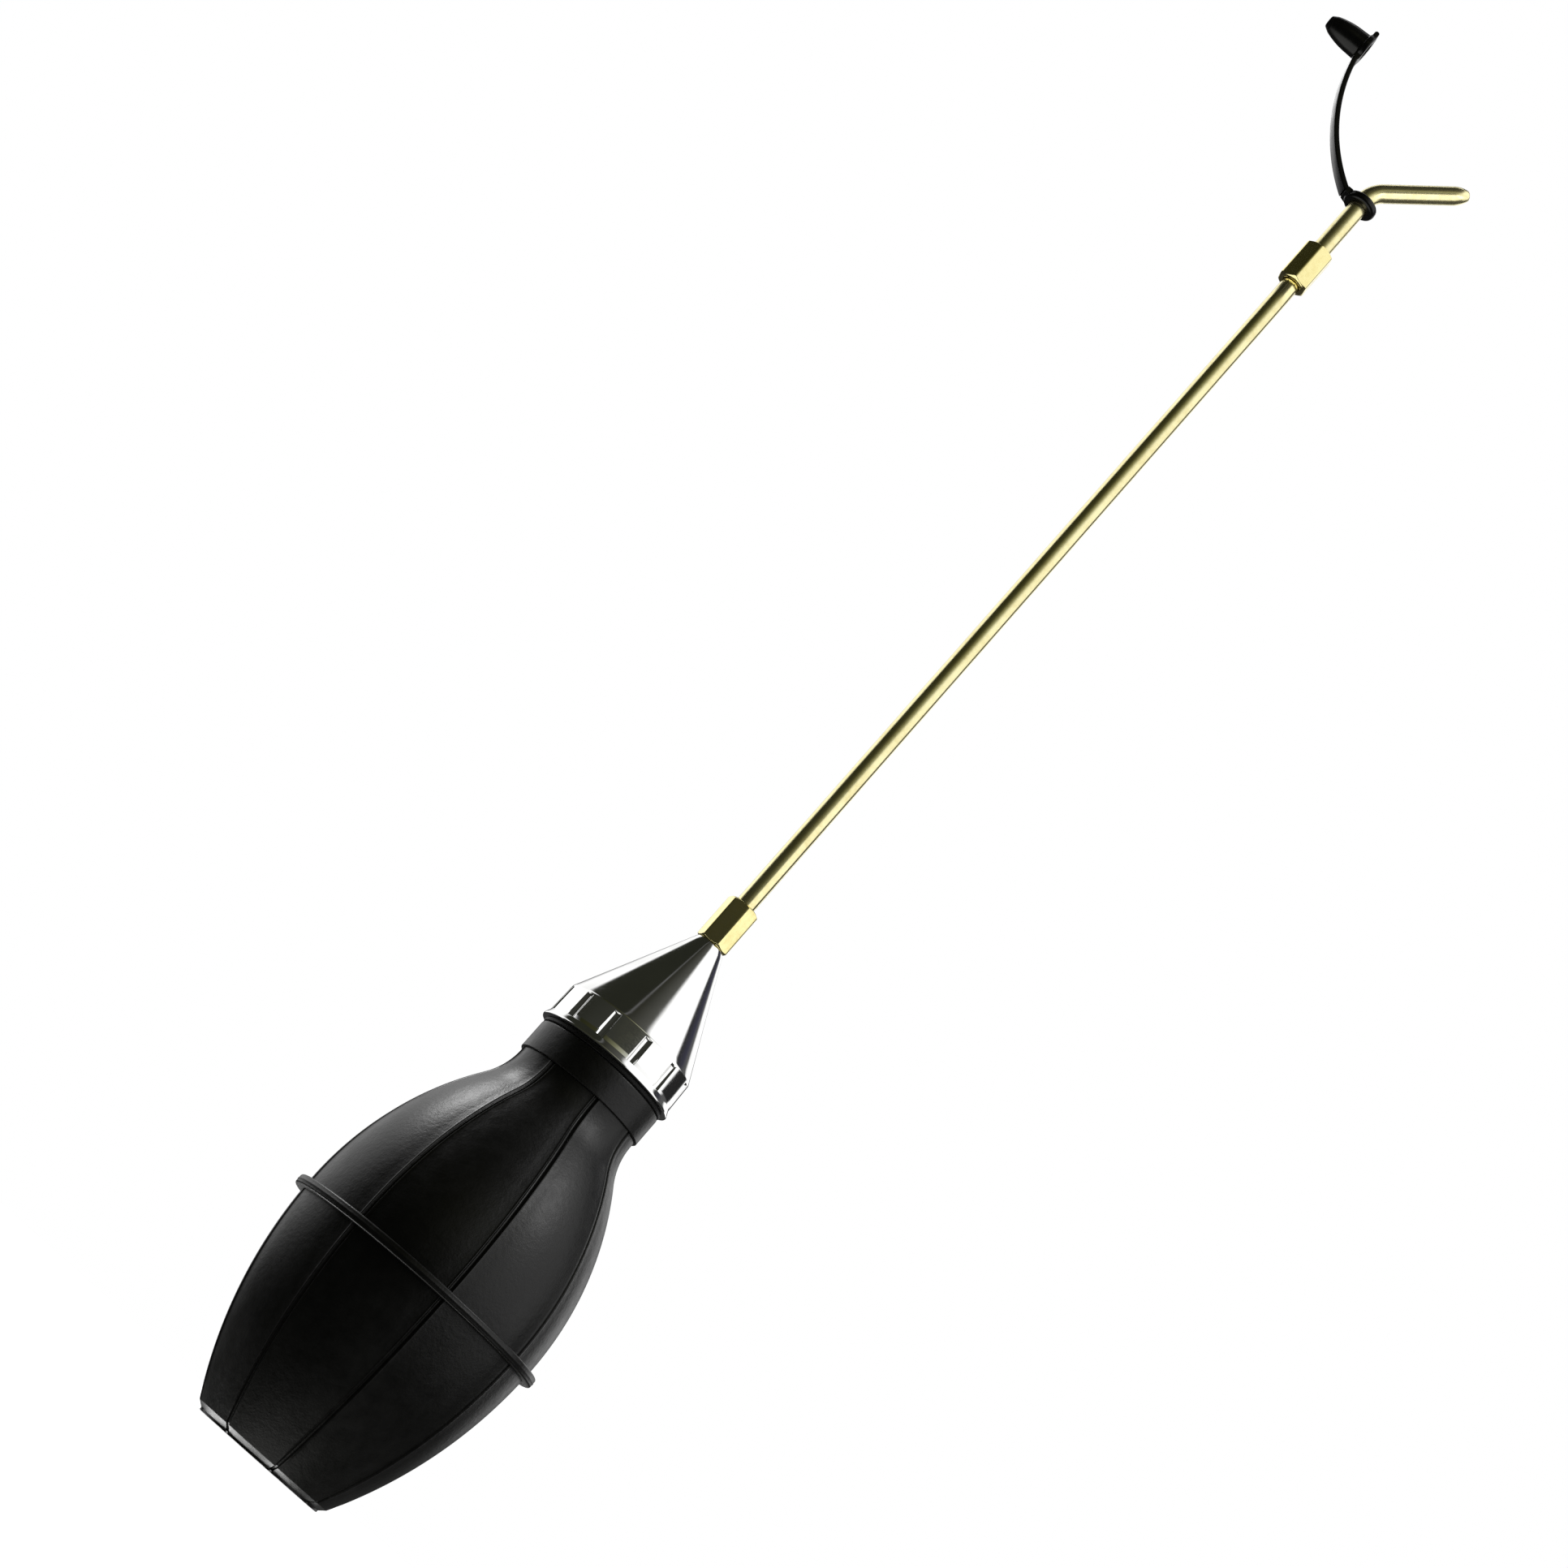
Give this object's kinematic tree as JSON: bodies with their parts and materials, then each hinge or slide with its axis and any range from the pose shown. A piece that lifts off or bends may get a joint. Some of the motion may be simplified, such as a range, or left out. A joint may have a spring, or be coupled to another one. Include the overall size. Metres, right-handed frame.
{
  "type": "bulb duster with brass lance",
  "caption": "Hand-squeezed rubber bulb duster: a screw-on metal cone cap carries a long brass lance, a bent brass nozzle and a tethered rubber tip cap.",
  "frame": {"origin": "centre of the bulb's flat base", "axes": "+Z along the bulb and the lance, from the base to the nozzle; +X the way the nozzle bends"},
  "size_m": [0.0942, 0.09, 0.5863],
  "materials": {
    "bulb_rubber": "matt moulded black rubber with a soft sheen",
    "seal_rubber": "plain black rubber",
    "tether_rubber": "smooth black rubber",
    "cap_chrome": "polished chrome plate",
    "insert_metal": "plated, machined",
    "brass": "polished bare brass"
  },
  "bodies": {
    "bulb": {"bulb_lower_shell": "bulb_rubber", "bulb_upper_shell": "bulb_rubber", "neck_insert": "insert_metal"},
    "squeeze_left": {"squeeze_wall_left": "bulb_rubber"},
    "squeeze_right": {"squeeze_wall_right": "bulb_rubber"},
    "cap_seal": {"cap_gasket": "seal_rubber"},
    "cap": {"cone_cap": "cap_chrome", "tip_nipple": "brass"},
    "lance_seal": {"lower_seal": "seal_rubber"},
    "lance": {"lower_coupler": "brass", "extension_tube": "brass"},
    "nozzle_seal": {"upper_seal": "seal_rubber"},
    "nozzle": {"upper_coupler": "brass", "nozzle_tube": "brass"},
    "tether": {"tether_ring": "tether_rubber"},
    "strap": {"tether_strap": "tether_rubber"},
    "tip_cap": {"tip_cap": "tether_rubber"}
  },
  "joints": [
    {"name": "squeeze_left", "type": "slide", "parent": "bulb", "child": "squeeze_left", "axis": [0.9659, 0.2588, 0], "range_m": [0, 0.012], "stiffness_N_per_m": 2500},
    {"name": "squeeze_right", "type": "slide", "parent": "bulb", "child": "squeeze_right", "axis": [-0.9659, -0.2588, 0], "range_m": [0, 0.012], "stiffness_N_per_m": 2500},
    {"name": "cap_lift", "type": "slide", "parent": "bulb", "child": "cap_seal", "axis": [0, 0, 1], "range_m": [0, 0.00751]},
    {"name": "cap_turn", "type": "hinge", "parent": "cap_seal", "child": "cap", "pos_m": [0, 0, 0.149], "axis": [0, 0, 1], "range_deg": [0, 900]},
    {"name": "lance_lift", "type": "slide", "parent": "cap", "child": "lance_seal", "axis": [0, 0, 1], "range_m": [0, 0.00601]},
    {"name": "lance_turn", "type": "hinge", "parent": "lance_seal", "child": "lance", "pos_m": [0, 0, 0.198], "axis": [0, 0, 1], "range_deg": [0, 2160]},
    {"name": "nozzle_lift", "type": "slide", "parent": "lance", "child": "nozzle_seal", "axis": [0, 0, 1], "range_m": [0, 0.00601]},
    {"name": "nozzle_turn", "type": "hinge", "parent": "nozzle_seal", "child": "nozzle", "pos_m": [0, 0, 0.4935], "axis": [0, 0, 1], "range_deg": [0, 2160]},
    {"name": "tether_turn", "type": "hinge", "parent": "nozzle", "child": "tether", "pos_m": [0, 0, 0.5325], "axis": [0, 0, 1], "range_deg": [-120, 120]},
    {"name": "strap_flex", "type": "hinge", "parent": "tether", "child": "strap", "pos_m": [-0.0075, 0, 0.5331], "axis": [0, 1, 0], "range_deg": [-40, 30], "stiffness_Nm_per_rad": 0.03},
    {"name": "cap_flex", "type": "hinge", "parent": "strap", "child": "tip_cap", "pos_m": [-0.0338, 0, 0.57283], "axis": [0, 1, 0], "range_deg": [-45, 45], "stiffness_Nm_per_rad": 0.01}
  ],
  "couplings": [
    {"joint": "squeeze_right", "follows": "squeeze_left", "ratio": 1},
    {"joint": "cap_lift", "follows": "cap_turn", "m_per_rad": 0.00047746},
    {"joint": "lance_lift", "follows": "lance_turn", "m_per_rad": 0.00015915},
    {"joint": "nozzle_lift", "follows": "nozzle_turn", "m_per_rad": 0.00015915}
  ]
}
